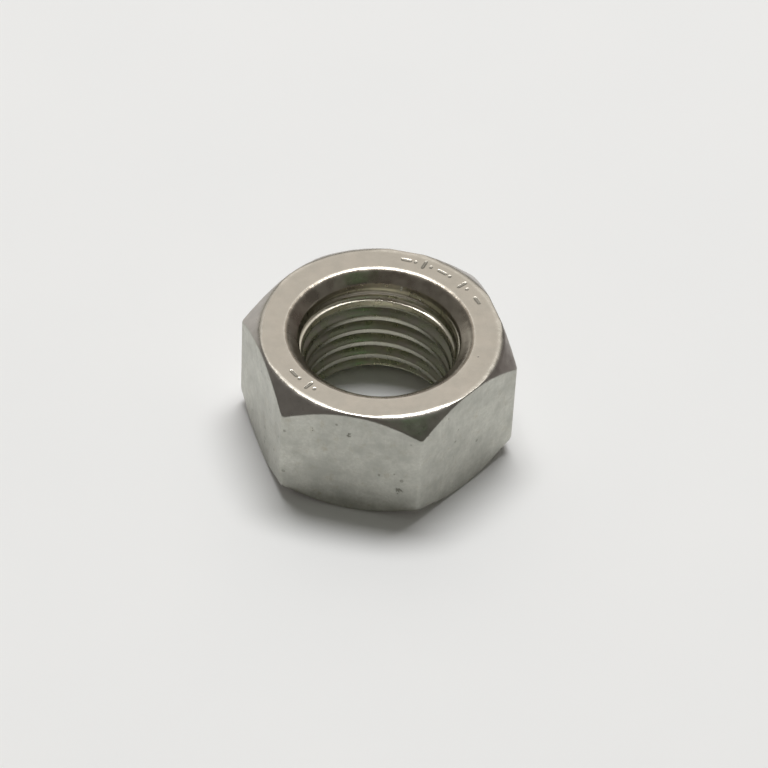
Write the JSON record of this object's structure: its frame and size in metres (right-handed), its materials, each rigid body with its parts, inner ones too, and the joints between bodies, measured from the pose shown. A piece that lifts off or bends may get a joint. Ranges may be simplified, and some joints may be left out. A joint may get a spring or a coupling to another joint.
{
  "type": "hex nut",
  "caption": "Hexagonal nut with a coarse right-hand metric thread, chamfered corners on both faces and a countersunk, tapered thread entry.",
  "frame": {"origin": "centre of the lower bearing face, on the thread axis", "axes": "+Z along the thread axis from the lower bearing face to the upper face, +X through a corner of the hexagon, +Y normal to a wrench flat"},
  "size_m": [0.047, 0.041, 0.022],
  "materials": {
    "stainless_steel": "tumbled bare stainless steel, with finely turned end faces and a tapped thread"
  },
  "bodies": {
    "root": {"nut_body": "stainless_steel"}
  },
  "joints": []
}
